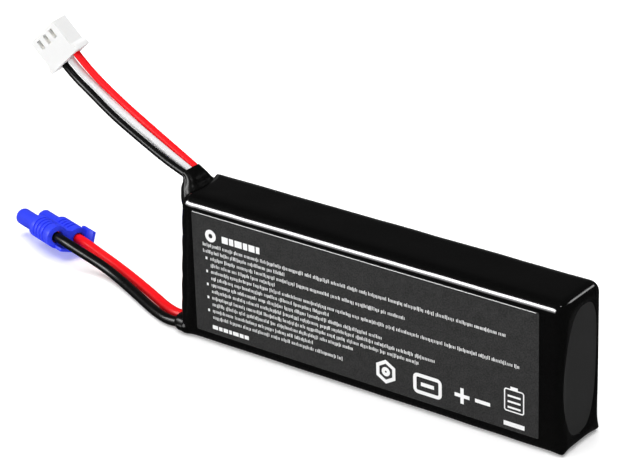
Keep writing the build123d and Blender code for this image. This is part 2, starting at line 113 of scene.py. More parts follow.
def mesh_from(name: str, bm: bmesh.types.BMesh, smooth_angle: float = 40.0) -> bpy.types.Mesh:
    """Close an edit mesh into mesh data with smooth shading below an edge angle.

    Args:
        name: Name of the mesh.
        bm: Edit mesh, in millimetres. It is freed.
        smooth_angle: Edges sharper than this many degrees stay crisp.

    Returns:
        The mesh, in metres.
    """
    bmesh.ops.recalc_face_normals(bm, faces=bm.faces)
    bmesh.ops.scale(bm, vec=(MM, MM, MM), verts=bm.verts)
    mesh = bpy.data.meshes.new(name)
    bm.to_mesh(mesh)
    bm.free()
    mesh.shade_smooth()
    mesh.set_sharp_from_angle(angle=math.radians(smooth_angle))
    return mesh


def loft(rings: Sequence[Sequence[Vector]]) -> bmesh.types.BMesh:
    """Skin a row of closed rings that all have the same number of points.

    Args:
        rings: Rings of points, in millimetres, in order.

    Returns:
        An open skin as an edit mesh. Its vertices keep the rings' order.
    """
    bm = bmesh.new()
    rows = [[bm.verts.new(p) for p in ring] for ring in rings]
    for here, there in zip(rows, rows[1:]):
        count = len(here)
        for k in range(count):
            bm.faces.new((here[k], here[(k + 1) % count], there[(k + 1) % count], there[k]))
    bm.verts.index_update()
    return bm


def rounded_ring(half_width: float, half_height: float, radius: float, side_steps: tuple[int, int],
                 corner_steps: int) -> list[Spot]:
    """Points round a rectangle with round corners, anticlockwise from where its lower right corner starts.

    Args:
        half_width: Half its size along the first direction.
        half_height: Half its size along the second direction.
        radius: Corner radius.
        side_steps: Number of steps along an upright side and along a level side.
        corner_steps: Number of steps round each corner.

    Returns:
        The points as (first, second) pairs, the same number for any size.
    """
    spots: list[Spot] = []
    core_w, core_h = half_width - radius, half_height - radius
    corners = ((core_w, -core_h, -90), (core_w, core_h, 0), (-core_w, core_h, 90), (-core_w, -core_h, 180))
    for index, (cx, cy, start) in enumerate(corners):
        for k in range(corner_steps + 1):
            angle = math.radians(start + 90 * k / corner_steps)
            spots.append((cx + radius * math.cos(angle), cy + radius * math.sin(angle)))
        nx, ny, after = corners[(index + 1) % 4]
        steps = side_steps[index % 2]
        angle = math.radians(after)
        end = (nx + radius * math.cos(angle), ny + radius * math.sin(angle))
        begin = spots[-1]
        spots += [(begin[0] + (end[0] - begin[0]) * k / steps, begin[1] + (end[1] - begin[1]) * k / steps)
                  for k in range(1, steps)]
    return spots


def softened_copy(node: str, edge: float, segments: int = 2) -> bmesh.types.BMesh:
    """Copy a CAD node's shape with its sharp edges moulded round.

    Args:
        node: CAD node to copy.
        edge: Width of the rounding, in millimetres.
        segments: Number of facets across each rounding.

    Returns:
        The copy as an edit mesh, in millimetres.
    """
    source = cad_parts[node].data
    bm = bmesh.new()
    corners = [bm.verts.new(v.co / MM) for v in source.vertices]
    for polygon in source.polygons:
        bm.faces.new([corners[k] for k in polygon.vertices])
    bmesh.ops.remove_doubles(bm, verts=bm.verts, dist=WELD_GAP)
    bmesh.ops.dissolve_limit(bm, angle_limit=math.radians(FLAT_ANGLE), verts=bm.verts, edges=bm.edges)
    sharp = [e for e in bm.edges
             if len(e.link_faces) == 2 and e.calc_face_angle() > math.radians(SHARP_ANGLE)]
    bmesh.ops.bevel(bm, geom=sharp, offset=edge, segments=segments, profile=0.5, affect="EDGES",
                    clamp_overlap=True)
    return bm


# ---- finishes ----------------------------------------------------------------------------------------


class Grain(Enum):
    """How a finish's fine detail is laid out."""

    MOULDED = "moulded"
    DRAWN = "drawn"
    SPECKLED = "speckled"
    WOVEN = "woven"
    BRUSHED = "brushed"
    FOAMED = "foamed"


# Detail that every finish shares. Depths are millimetres, and the rest are shares and multiples.
PATCH_DETAIL = 3.0
SOFT_DEPTHS = (1.0, 0.8, 0.7)
SLOW_STREAKS = 9
FAST_SHARE = 0.25
SPECK_EDGES = (0.35, 0.68)
BRUSH_STRETCH = (0.06, 1.0, 1.0)
RIDGE_RATE = 0.314
RIDGE_WOBBLE = 0.3


@dataclass(frozen=True)
class Finish:
    """One surface finish, with its colour, gloss and fine detail.

    Colours are linear. Sizes are millimetres.
    """

    name: str
    colour: Colour
    second: Colour
    roughness: tuple[float, float]
    grain: Grain = Grain.MOULDED
    grain_size: float = 0.4
    relief: float = 0.01
    patch_size: float = 6.0
    metallic: float = 0.0
    specular: float = 0.5
    coat: float = 0.0
    coat_roughness: float = 0.1
    soft: float = 0.0
    stretch: Place = (1.0, 1.0, 1.0)

    def material(self) -> bpy.types.Material:
        """Build the finish once as a node material, and give the same one again after that.

        Returns:
            The material.
        """
        full_name = f"{self.name}_finish"
        ready = bpy.data.materials.get(full_name)
        if ready:
            return ready
        made = bpy.data.materials.new(full_name)
        made.use_nodes = True
        sketch = NodeSketch(made.node_tree)
        shader = sketch.tree.nodes["Principled BSDF"]
        self._set_constants(shader)
        spot = sketch.add("ShaderNodeTexCoord").outputs["Object"]
        scaled = sketch.add("ShaderNodeMapping", Scale=self.stretch, Vector=spot).outputs["Vector"]
        fine = self._fine_pattern(sketch, scaled)
        patches = sketch.noise(scaled, self.patch_size, detail=PATCH_DETAIL)
        blend = sketch.mix_values(patches, fine)
        colours = sketch.mix_colours(self.colour, self.second, blend)
        gloss = sketch.ramp(blend, self.roughness[0], self.roughness[1])
        sketch.tree.links.new(colours, shader.inputs["Base Color"])
        sketch.tree.links.new(gloss, shader.inputs["Roughness"])
        bump = sketch.add("ShaderNodeBump", Height=fine, Strength=1.0, Distance=self.relief * MM)
        sketch.tree.links.new(bump.outputs["Normal"], shader.inputs["Normal"])
        return made

    def _set_constants(self, shader: bpy.types.ShaderNode) -> None:
        """Set everything that is the same all over the surface on the shader itself.

        Args:
            shader: The finish's shader.
        """
        shader.inputs["Metallic"].default_value = self.metallic
        shader.inputs["Specular IOR Level"].default_value = self.specular
        shader.inputs["Coat Weight"].default_value = self.coat
        shader.inputs["Coat Roughness"].default_value = self.coat_roughness
        shader.inputs["Subsurface Weight"].default_value = self.soft
        shader.inputs["Subsurface Radius"].default_value = tuple(depth * MM for depth in SOFT_DEPTHS)

    def _fine_pattern(self, sketch: "NodeSketch", spot: bpy.types.NodeSocket) -> bpy.types.NodeSocket:
        """Lay out the finish's fine detail.

        Args:
            sketch: Node tree being built.
            spot: Place on the surface.

        Returns:
            A value from 0 to 1 that follows the detail.
        """
        size = self.grain_size
        if self.grain is Grain.WOVEN:
            across = sketch.wave(spot, size, "X")
            along = sketch.wave(spot, size, "Z")
            return sketch.math("MULTIPLY", across, along)
        if self.grain is Grain.FOAMED:
            cells = sketch.add("ShaderNodeTexVoronoi", Vector=spot, Scale=1 / (size * MM))
            return sketch.ramp(cells.outputs["Distance"], 0.0, 1.0)
        if self.grain is Grain.SPECKLED:
            speck = sketch.noise(spot, size, detail=1.0)
            return sketch.ramp(speck, 0.0, 1.0, *SPECK_EDGES)
        if self.grain is Grain.BRUSHED:
            streaks = sketch.add("ShaderNodeMapping", Scale=BRUSH_STRETCH, Vector=spot).outputs["Vector"]
            return sketch.noise(streaks, size, detail=2.0)
        if self.grain is Grain.DRAWN:
            slow = sketch.noise(spot, size * SLOW_STREAKS, detail=2.0)
            fast = sketch.noise(spot, size, detail=2.0)
            return sketch.mix_values(slow, fast, FAST_SHARE)
        return sketch.noise(spot, size, detail=4.0)


class NodeSketch:
    """Adds shader nodes to one tree and wires them up."""

    def __init__(self, tree: bpy.types.NodeTree) -> None:
        """Keep the tree that the nodes go into."""
        self.tree = tree

    def add(self, kind: str, **inputs: object) -> bpy.types.ShaderNode:
        """Add one node.

        Args:
            kind: Blender's name for the node type.
            inputs: Values or sockets for its inputs, by the input's name.

        Returns:
            The new node.
        """
        made = self.tree.nodes.new(kind)
        for name, value in inputs.items():
            if isinstance(value, bpy.types.NodeSocket):
                self.tree.links.new(value, made.inputs[name])
            else:
                made.inputs[name].default_value = value
        return made

    def noise(self, spot: bpy.types.NodeSocket, size: float, detail: float) -> bpy.types.NodeSocket:
        """Cloudy noise whose blotches are about size millimetres across."""
        made = self.add("ShaderNodeTexNoise", Vector=spot, Scale=1 / (size * MM), Detail=detail)
        return made.outputs["Fac"]

    def wave(self, spot: bpy.types.NodeSocket, pitch: float, axis: str) -> bpy.types.NodeSocket:
        """Even ridges along one axis.

        Args:
            spot: Place on the surface.
            pitch: Distance between ridges, in millimetres.
            axis: Letter of the axis that they follow each other along.

        Returns:
            A value from 0 to 1.
        """
        made = self.add("ShaderNodeTexWave", Vector=spot, Scale=RIDGE_RATE / (pitch * MM),
                        Distortion=RIDGE_WOBBLE)
        made.bands_direction = axis
        return made.outputs["Fac"]

    def math(self, what: str, first: bpy.types.NodeSocket,
             second: bpy.types.NodeSocket) -> bpy.types.NodeSocket:
        """Combine two values by one arithmetic step.

        Args:
            what: Blender's name for the step.
            first: First value.
            second: Second value.

        Returns:
            The result.
        """
        made = self.add("ShaderNodeMath")
        made.operation = what
        self.tree.links.new(first, made.inputs[0])
        self.tree.links.new(second, made.inputs[1])
        return made.outputs["Value"]

    def ramp(self, value: bpy.types.NodeSocket, low: float, high: float, start: float = 0.25,
             stop: float = 0.75) -> bpy.types.NodeSocket:
        """Stretch a value from start to stop over low to high.

        Args:
            value: Value to stretch.
            low: Result at start and below.
            high: Result at stop and above.
            start: Where the stretch begins.
            stop: Where the stretch ends.

        Returns:
            The stretched value.
        """
        made = self.add("ShaderNodeMapRange", Value=value)
        made.inputs["From Min"].default_value = start
        made.inputs["From Max"].default_value = stop
        made.inputs["To Min"].default_value = low
        made.inputs["To Max"].default_value = high
        return made.outputs["Result"]

    def mix_values(self, first: bpy.types.NodeSocket, second: bpy.types.NodeSocket,
                   share: float = 0.5) -> bpy.types.NodeSocket:
        """Blend two values.

        Args:
            first: First value.
            second: Second value.
            share: Share of the second.

        Returns:
            The blend.
        """
        made = self.add("ShaderNodeMix", Factor=share)
        self.tree.links.new(first, made.inputs["A"])
        self.tree.links.new(second, made.inputs["B"])
        return made.outputs["Result"]

    def mix_colours(self, first: Colour, second: Colour,
                    share: bpy.types.NodeSocket) -> bpy.types.NodeSocket:
        """Blend two colours by a value.

        Args:
            first: Colour where the value is 0.
            second: Colour where the value is 1.
            share: The value.

        Returns:
            The blended colour.
        """
        made = self.add("ShaderNodeMix")
        made.data_type = "RGBA"
        chosen = [s for s in made.inputs if s.type == "RGBA"]
        chosen[0].default_value = (*first, 1.0)
        chosen[1].default_value = (*second, 1.0)
        self.tree.links.new(share, made.inputs["Factor"])
        return [s for s in made.outputs if s.type == "RGBA"][0]


SHRINK_FILM = Finish("shrink_film", (0.0012, 0.0012, 0.0012), (0.0022, 0.0022, 0.0022), (0.09, 0.13),
                     Grain.DRAWN, grain_size=0.9, relief=0.004, patch_size=14.0, specular=0.3,
                     stretch=(0.2, 1.0, 1.0))
DRAWN_FILM = Finish("drawn_film", (0.0015, 0.0015, 0.0015), (0.0035, 0.0035, 0.0035), (0.24, 0.40),
                    Grain.DRAWN, grain_size=0.5, relief=0.02, patch_size=2.0, specular=0.06)
LABEL_FILM = Finish("label_film", (0.011, 0.011, 0.011), (0.040, 0.040, 0.040), (0.34, 0.46),
                    Grain.SPECKLED, grain_size=0.34, relief=0.004, patch_size=2.0, specular=0.08)
LABEL_INK = Finish("label_ink", (0.72, 0.72, 0.72), (0.86, 0.86, 0.86), (0.40, 0.55),
                   Grain.MOULDED, grain_size=0.15, relief=0.002, patch_size=2.0, specular=0.08)
PAD_FOAM = Finish("pad_foam", (0.021, 0.021, 0.021), (0.028, 0.028, 0.028), (0.62, 0.78),
                  Grain.FOAMED, grain_size=0.18, relief=0.006, patch_size=4.0, specular=0.1)
FIBRE_SHEET = Finish("fibre_sheet", (0.42, 0.36, 0.24), (0.55, 0.49, 0.34), (0.65, 0.85),
                     Grain.WOVEN, grain_size=0.5, relief=0.01)
POUCH_FOIL = Finish("pouch_foil", (0.62, 0.63, 0.65), (0.78, 0.79, 0.80), (0.22, 0.38),
                    Grain.DRAWN, grain_size=0.7, relief=0.02, patch_size=9.0, metallic=1.0)
ELECTRODE_STACK = Finish("electrode_stack", (0.02, 0.02, 0.022), (0.05, 0.05, 0.052), (0.6, 0.8),
                         Grain.BRUSHED, grain_size=0.12, relief=0.01)
ALUMINIUM_TAB = Finish("aluminium_tab", (0.80, 0.81, 0.82), (0.90, 0.90, 0.91), (0.22, 0.40),
                       Grain.BRUSHED, grain_size=0.1, relief=0.003, metallic=1.0)
NICKEL = Finish("nickel", (0.62, 0.59, 0.54), (0.74, 0.71, 0.66), (0.25, 0.42),
                Grain.BRUSHED, grain_size=0.1, relief=0.003, metallic=1.0)
SEALANT_FILM = Finish("sealant_film", (0.70, 0.66, 0.55), (0.82, 0.79, 0.68), (0.35, 0.5),
                      grain_size=0.3, relief=0.004, soft=0.2)
BOND_TAPE = Finish("bond_tape", (0.55, 0.55, 0.52), (0.70, 0.70, 0.66), (0.6, 0.8),
                   Grain.FOAMED, grain_size=0.25, relief=0.01)
POLYIMIDE_TAPE = Finish("polyimide_tape", (0.50, 0.20, 0.02), (0.62, 0.28, 0.04), (0.2, 0.32),
                        Grain.DRAWN, grain_size=0.8, relief=0.005, coat=0.5)
BOARD_LAMINATE = Finish("board_laminate", (0.010, 0.075, 0.028), (0.016, 0.11, 0.042), (0.28, 0.4),
                        Grain.WOVEN, grain_size=0.45, relief=0.003)
COPPER = Finish("copper", (0.70, 0.36, 0.24), (0.86, 0.50, 0.34), (0.2, 0.38),
                Grain.BRUSHED, grain_size=0.08, relief=0.003, metallic=1.0)
SOLDER = Finish("solder", (0.55, 0.56, 0.58), (0.72, 0.73, 0.74), (0.18, 0.36),
                Grain.DRAWN, grain_size=0.25, relief=0.01, metallic=1.0)
LEAD_RED = Finish("lead_red", (0.82, 0.006, 0.010), (0.92, 0.012, 0.018), (0.30, 0.42),
                  Grain.MOULDED, grain_size=0.12, relief=0.004, patch_size=3.0, specular=0.05)
LEAD_WHITE = Finish("lead_white", (0.62, 0.62, 0.63), (0.72, 0.72, 0.73), (0.34, 0.46),
                    Grain.MOULDED, grain_size=0.12, relief=0.004, patch_size=3.0, specular=0.08, soft=0.05)
LEAD_BLACK = Finish("lead_black", (0.0022, 0.0022, 0.0022), (0.0045, 0.0045, 0.0045), (0.24, 0.34),
                    Grain.MOULDED, grain_size=0.12, relief=0.004, patch_size=3.0, specular=0.07)
WHITE_NYLON = Finish("white_nylon", (0.72, 0.72, 0.718), (0.78, 0.78, 0.778), (0.38, 0.5),
                     Grain.MOULDED, grain_size=0.3, relief=0.004, patch_size=2.5, specular=0.08, soft=0.1)
TINNED_BRASS = Finish("tinned_brass", (0.62, 0.58, 0.48), (0.76, 0.73, 0.64), (0.25, 0.42),
                      Grain.BRUSHED, grain_size=0.1, relief=0.003, metallic=1.0)
BLUE_NYLON = Finish("blue_nylon", (0.028, 0.048, 0.76), (0.036, 0.062, 0.88), (0.34, 0.46),
                    Grain.MOULDED, grain_size=0.3, relief=0.005, patch_size=2.5, specular=0.07, soft=0.03)
GOLD_BRASS = Finish("gold_brass", (0.83, 0.58, 0.22), (0.93, 0.70, 0.32), (0.16, 0.3),
                    Grain.BRUSHED, grain_size=0.08, relief=0.002, metallic=1.0)
FLOOR_PAPER = Finish("floor_paper", (0.93, 0.93, 0.93), (0.95, 0.95, 0.95), (0.85, 0.95),
                     Grain.SPECKLED, grain_size=1.2, relief=0.002, patch_size=90.0, specular=0.1)


# ---- studio --------------------------------------------------------------------------------------------


class Reach(Enum):
    """Which part of a surface's look a light works on, as (body colour, gloss)."""

    GLOSS = (False, True)
    BODY_COLOUR = (True, False)


@dataclass
class Softbox:
    """A plain rectangular light that faces the pack."""

    name: str
    place: Place
    width: float
    height: float
    power: float
    reach: Reach

    def light(self, target: Vector) -> None:
        """Hang the light and turn it to its target.

        Args:
            target: Point that it faces, in metres.
        """
        data = bpy.data.lights.new(self.name, "AREA")
        data.shape = "RECTANGLE"
        data.size = self.width * MM
        data.size_y = self.height * MM
        data.energy = self.power
        lamp = bpy.data.objects.new(self.name, data)
        lamp.location = Vector(self.place) * MM
        lamp.rotation_mode = "QUATERNION"
        lamp.rotation_quaternion = (target - lamp.location).to_track_quat("-Z", "Y")
        lamp.visible_diffuse, lamp.visible_glossy = self.reach.value
        lamp.visible_camera = False
        bpy.context.scene.collection.objects.link(lamp)


@dataclass
class Studio:
    """Camera, pale floor and soft lights."""

    aim: Place = (-15.86, -3.57, 33.09)
    azimuth: float = 37.72
    elevation: float = 25.16
    roll: float = -1.87
    distance: float = 607.6
    lens: float = 162.6
    floor_size: float = 6000.0
    sky: float = 0.05
    table_glow: float = 0.22
    light_target: Place = (0, 0, 18)
    boxes: tuple[Softbox, ...] = (
        Softbox("overhead", (-80, 0, 1500), 2100, 2100, 41.0, Reach.BODY_COLOUR),
        Softbox("front_fill", (300, -1500, 620), 1500, 900, 11.0, Reach.BODY_COLOUR),
        Softbox("front_strip", (-640, -760, 490), 1000, 330, 56.0, Reach.GLOSS),
        Softbox("front_halo", (-690, -880, 350), 1150, 430, 15.0, Reach.GLOSS),
        Softbox("front_skirt", (-720, -1000, 130), 1100, 300, 4.5, Reach.GLOSS),
        Softbox("corner_glint", (380, -230, 900), 110, 70, 3.5, Reach.GLOSS),
        Softbox("end_glint", (420, 720, 520), 170, 120, 0.5, Reach.GLOSS),
        Softbox("back_card", (-900, 1350, 480), 1300, 260, 0.32, Reach.GLOSS),
    )

    def build(self) -> None:
        """Set up the whole studio."""
        self._camera()
        self._floor()
        self._world()
        for box in self.boxes:
            box.light(Vector(self.light_target) * MM)

    def _camera(self) -> None:
        """Place the camera on its bearing round the aim point."""
        turn, rise = math.radians(self.azimuth), math.radians(self.elevation)
        back = Vector((math.sin(turn) * math.cos(rise), -math.cos(turn) * math.cos(rise), math.sin(rise)))
        data = bpy.data.cameras.new("camera")
        data.lens = self.lens
        camera = bpy.data.objects.new("camera", data)
        camera.location = (Vector(self.aim) + back * self.distance) * MM
        level = (-back).to_track_quat("-Z", "Y").to_matrix()
        camera.rotation_mode = "QUATERNION"
        rolled = level @ Matrix.Rotation(math.radians(self.roll), 3, "Z")
        camera.rotation_quaternion = rolled.to_quaternion()
        bpy.context.scene.collection.objects.link(camera)
        bpy.context.scene.camera = camera

    def _floor(self) -> None:
        """Lay a wide pale floor under the pack."""
        half = self.floor_size / 2
        bm = bmesh.new()
        corners = [bm.verts.new((x * half, y * half, 0)) for x, y in ((-1, -1), (1, -1), (1, 1), (-1, 1))]
        bm.faces.new(corners)
        floor = bpy.data.objects.new("floor", mesh_from("floor", bm))
        floor.data.materials.append(FLOOR_PAPER.material())
        bpy.context.scene.collection.objects.link(floor)
        table = FLOOR_PAPER.material().node_tree.nodes["Principled BSDF"]
        table.inputs["Emission Color"].default_value = (1.0, 1.0, 1.0, 1.0)
        table.inputs["Emission Strength"].default_value = self.table_glow
        # The glossy film would otherwise mirror the pale floor and look grey.
        floor.visible_glossy = False

    def _world(self) -> None:
        """Fill the room with dim even light, and keep colours plain."""
        world = bpy.data.worlds.new("room")
        world.use_nodes = True
        dim = (self.sky, self.sky, self.sky, 1)
        world.node_tree.nodes["Background"].inputs["Color"].default_value = dim
        bpy.context.scene.world = world
        bpy.context.scene.view_settings.view_transform = "Standard"


# ---- leads ---------------------------------------------------------------------------------------------


@dataclass
class Lead:
    """One silicone lead from the board inside the pack to its plug."""

    colour: str
    finish: Finish
    diameter: float
    length: float
    route: Sequence[Place]
    family: str
    round_steps: int = 6
    curve_steps: int = 16

    @property
    def node(self) -> str:
        """Name of the CAD node that the lead stands for."""
        return f"{self.family}_wire_{self.colour}"

    def build(self, lead_x: float) -> bpy.types.Object:
        """Draw the lead as one smooth curve through its listed points.

        Args:
            lead_x: Where the route starts counting along X, in millimetres.

        Returns:
            The curve object.
        """
        data = bpy.data.curves.new(f"{self.family}_lead_{self.colour}", "CURVE")
        data.dimensions = "3D"
        data.bevel_depth = self.diameter / 2 * MM
        data.bevel_resolution = self.round_steps
        data.use_fill_caps = True
        spline = data.splines.new("NURBS")
        spline.points.add(len(self.route) - 1)
        for point, (x, y, z) in zip(spline.points, self.route):
            point.co = (*(Vector((lead_x + x, y, z)) * MM), 1.0)
        spline.order_u = 3
        spline.use_endpoint_u = True
        spline.resolution_u = self.curve_steps
        lead = bpy.data.objects.new(data.name, data)
        bpy.context.scene.collection.objects.link(lead)
        data.materials.append(self.finish.material())
        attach(lead, BODY)
        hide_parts(self.node)
        log.info("lead %s", lead.name)
        return lead


@dataclass
class Leads:
    """The five leads, with their routes from the lead end's foot as (along, across, up)."""

    lead_x: float
    discharge_diameter: float = 2.4
    balance_diameter: float = 1.7
    discharge_exit: Place = (-53.0, -4.3, 2.1)
    balance_exit: Place = (-51.8, 0.0, 37.1)
    built: dict[str, bpy.types.Object] = field(default_factory=dict)

    def rows(self) -> list[Lead]:
        """List the leads with their own lengths and routes.

        Returns:
            The leads, the discharge pair first.
        """
        thick, thin = self.discharge_diameter, self.balance_diameter
        return [
            Lead("black", LEAD_BLACK, thick, 58.6, (
                (4.95, -4.70, 2.10), (1.20, -4.70, 2.10), (-3.40, -5.90, 1.35), (-10.00, -3.80, 1.25),
                (-18.60, 0.30, 1.25), (-28.00, 4.40, 1.50), (-34.75, 6.10, 2.50), (-40.20, 5.75, 4.30),
                (-46.08, 6.13, 5.59), (-50.57, 7.81, 5.29)), "discharge"),
            Lead("red", LEAD_RED, thick, 56.6, (
                (4.95, -2.00, 2.30), (1.20, -2.00, 2.30), (-3.40, -2.95, 1.90), (-8.50, -1.10, 1.45),
                (-15.90, 2.55, 1.25), (-25.30, 6.65, 1.25), (-33.75, 9.80, 1.50), (-39.30, 10.75, 2.50),
                (-44.02, 11.31, 3.69), (-48.50, 12.99, 3.39)), "discharge"),
            Lead("red", LEAD_RED, thin, 49.9, (
                (4.00, 1.75, 28.90), (2.90, 1.75, 33.20), (1.45, 1.75, 36.80), (-0.90, 1.75, 38.30),
                (-5.90, 1.55, 41.10),
                (-13.25, 1.30, 45.20), (-20.60, 1.15, 49.30), (-26.70, 0.80, 53.50), (-30.19, 0.37, 56.60),
                (-33.29, 0.05, 59.85)), "balance"),
            Lead("white", LEAD_WHITE, thin, 50.4, (
                (4.00, 0.00, 28.90), (2.90, 0.00, 33.20), (1.45, 0.00, 36.80), (-0.90, 0.00, 38.00),
                (-5.95, 0.00, 40.30),
                (-13.50, 0.00, 44.10), (-21.10, 0.00, 48.00), (-27.90, 0.10, 52.30), (-31.99, 0.25, 54.88),
                (-35.09, -0.07, 58.12)), "balance"),
            Lead("black", LEAD_BLACK, thin, 51.2, (
                (4.00, -1.75, 28.90), (2.90, -1.75, 33.20), (1.45, -1.75, 36.80), (-0.90, -1.75, 37.70),
                (-6.00, -1.60, 39.40),
                (-13.80, -1.30, 42.90), (-21.60, -1.15, 46.70), (-29.00, -0.60, 51.00), (-33.79, 0.12, 53.16),
                (-36.89, -0.19, 56.40)), "balance"),
        ]

    def build(self) -> None:
        """Draw every lead."""
        for lead in self.rows():
            self.built[lead.node] = lead.build(self.lead_x)


# ---- shrink sleeve ---------------------------------------------------------------------------------------


@dataclass
class ShrinkSleeve:
    """The glossy black film, with folds at the lead end and a drawn-back lip at the window.

    A fold is (lift, distance from the lead end's face, width, share of the sway). A ripple is
    (tightness, height).
    """

    edge_radius: float = 2.5
    film: float = 0.3
    end_slope: float = 0.0648
    side_steps: tuple[int, int] = (40, 16)
    corner_steps: int = 14
    cap_steps: int = 14
    body_step: float = 1.1
    lip_bead: float = 0.11
    lip_depth: float = 0.35
    window_middle: Spot = (-0.3, 17.75)
    window_half: Spot = (6.1, 14.8)
    window_square: tuple[float, float] = (2.3, 3.1)
    window_lean: float = 3.0
    return_depth: float = 5.0
    seam_low: float = 9.0
    seam_high: float = 27.0
    label_reach: Spot = (46.6, 15.4)
    outer_rings: int = 0
    weld: float = 0.01
    ring_crowding: float = 0.11
    sink_share: Spot = (0.55, 1.0)
    bead_steps: int = 6
    return_steps: int = 6
    ripples: tuple[Spot, ...] = ((0.085, 0.10), (0.2, 0.03))
    label_fade: float = 1.2
    label_face: Spot = (1.6, 0.6)
    folds: tuple[tuple[float, float, float, float], ...] = (
        (-0.34, 2.3, 0.7, 1.0), (0.16, 3.6, 0.8, 1.0), (-0.14, 5.0, 0.6, 0.7))
    fold_face: Spot = (2.0, 0.6)
    fold_foot: Spot = (0.5, 6.0)
    fold_head: Spot = (34.0, 29.0)
    sway: float = 0.5
    sway_pace: Spot = (0.2, 0.09)
    sway_seed: float = 7.0
    pleat_height: float = 0.07
    pleat_rate: float = 1.15
    pleat_wander: float = 2.2
    pleat_pace: Spot = (0.35, 0.2)
    pleat_seed: float = 3.0
    pleat_facing: Spot = (1.4, 0.4)
    pleat_start: Spot = (0.2, 3.0)
    ease: Spot = (0.20, 0.18)
    ease_inset: float = 0.73
    ease_width: float = 1.6
    bulge_height: float = 0.75
    bulge_x: Spot = (-50.2, 1.5)
    bulge_y: Spot = (-4.5, -6.8)
    bulge_z: Spot = (1.5, 1.3)
    foot_tip: Place = (0.15, 0.15, 0.25)
    foot_pull: Spot = (0.86, 2.3)
    top_tip: Spot = (0.1, 1.6)
    top_pull: Spot = (0.85, 2.8)
    floor_gap: float = 0.02

    def build(self) -> bpy.types.Object:
        """Skin the sleeve and work its folds in.

        Returns:
            The sleeve.
        """
        self.low, self.high = node_box("shrink_sleeve")
        rings = self._lead_cap() + self._body() + self._rear_cap()
        self.outer_rings = len(rings)
        rings += self._lip(rings[-1], rings[-2]) + self._inner_return()
        bm = loft(rings)
        bmesh.ops.recalc_face_normals(bm, faces=bm.faces)
        self._work_folds(bm, len(rings[0]))
        bmesh.ops.remove_doubles(bm, verts=bm.verts, dist=self.weld)
        return add_piece("sleeve_film", mesh_from("sleeve_film", bm, smooth_angle=55), SHRINK_FILM.material(),
                         ("shrink_sleeve",))

    @property
    def half(self) -> tuple[float, float]:
        """Half the pack's thickness and half its height."""
        return (self.high.y - self.low.y) / 2, (self.high.z - self.low.z) / 2

    def _outline(self, inset: float = 0.0) -> list[Spot]:
        """The pack's cross-section.

        Args:
            inset: How far it is inset all round.

        Returns:
            Its points as (across, up).
        """
        half_y, half_z = self.half
        spots = rounded_ring(half_y - inset, half_z - inset, self.edge_radius - inset, self.side_steps,
                             self.corner_steps)
        return [(y, z + half_z) for y, z in spots]

    def _crown(self, y: float, z: float) -> float:
        """How far the rounded end has fallen back at a spot.

        Args:
            y: The spot across the pack.
            z: The spot's height.

        Returns:
            A distance from 0 on the end's flat to the edge radius at its rim.
        """
        half_y, half_z = self.half
        over_y = max(abs(y) - (half_y - self.edge_radius), 0.0)
        over_z = max(abs(z - half_z) - (half_z - self.edge_radius), 0.0)
        reach = min(math.hypot(over_y, over_z), self.edge_radius)
        return self.edge_radius - math.sqrt(self.edge_radius ** 2 - reach ** 2)

    def _lead_face(self, z: float) -> float:
        """Where the lead end's leaning face is.

        Args:
            z: Height.

        Returns:
            Its place along X.
        """
        slope = self.end_slope
        foot = self.low.x - self.edge_radius * (slope + math.hypot(1, slope) - 1)
        return foot + slope * z

    def _lead_cap(self) -> list[list[Vector]]:
        """Rings from the upright seam of the lead end out to its edges.

        Returns:
            The rings in order.
        """
        rings = []
        for k in range(self.cap_steps, 0, -1):
            share = 1 - math.cos(k / self.cap_steps * math.pi / 2)
            ring = []
            for y, z in self._outline():
                seam_z = min(max(z, self.seam_low), self.seam_high)
                spot_y, spot_z = y * (1 - share), z + (seam_z - z) * share
                ring.append(Vector((self._lead_face(spot_z) + self._crown(spot_y, spot_z), spot_y, spot_z)))
            rings.append(ring)
        return rings

    def _body(self) -> list[list[Vector]]:
        """Rings along the straight length, turning from the leaning lead end to the square rear end.

        Returns:
            The rings in order.
        """
        start = self.low.x + self.edge_radius
        stop = self.high.x - self.edge_radius
        steps = round((stop - start) / self.body_step)
        rings = []
        for k in range(steps + 1):
            t = k / steps
            # Rings lie closer together at the two ends, where the folds are.
            along = t - self.ring_crowding * math.sin(2 * math.pi * t)
            ring = []
            for y, z in self._outline():
                first = self._lead_face(z) + self.edge_radius
                ring.append(Vector((first + (stop - first) * along, y, z)))
            rings.append(ring)
        return rings

    def _window_spot(self, y: float, z: float) -> Spot:
        """The spot on the window's lip that lies out from its middle towards a spot on the outline.

        Args:
            y: The outline's spot across the pack.
            z: The outline's spot's height.

        Returns:
            The lip's spot as (across, up).
        """
        half_y, half_z = self.half
        middle_y, middle_z = self.window_middle
        angle = math.atan2((z - half_z) / half_z, y / half_y)
        power = 2 / self.window_square[0 if math.cos(angle) < 0 else 1]
        lip_y = self.window_half[0] * math.copysign(abs(math.cos(angle)) ** power, math.cos(angle))
        lip_z = self.window_half[1] * math.copysign(abs(math.sin(angle)) ** power, math.sin(angle))
        lean = math.tan(math.radians(self.window_lean))
        return middle_y + lip_y + lean * lip_z, middle_z + lip_z

    def _rear_cap(self) -> list[list[Vector]]:
        """Rings from the rear end's edges in to the window's lip.

        Returns:
            The rings in order.
        """
        rings = []
        for k in range(1, self.cap_steps + 1):
            share = 1 - math.cos(k / self.cap_steps * math.pi / 2)
            ring = []
            for y, z in self._outline():
                lip_y, lip_z = self._window_spot(y, z)
                spot_y, spot_z = y + (lip_y - y) * share, z + (lip_z - z) * share
                sink = self.lip_depth * smooth_step(*self.sink_share, share)
                ring.append(Vector((self.high.x - self._crown(spot_y, spot_z) - sink, spot_y, spot_z)))
            rings.append(ring)
        return rings

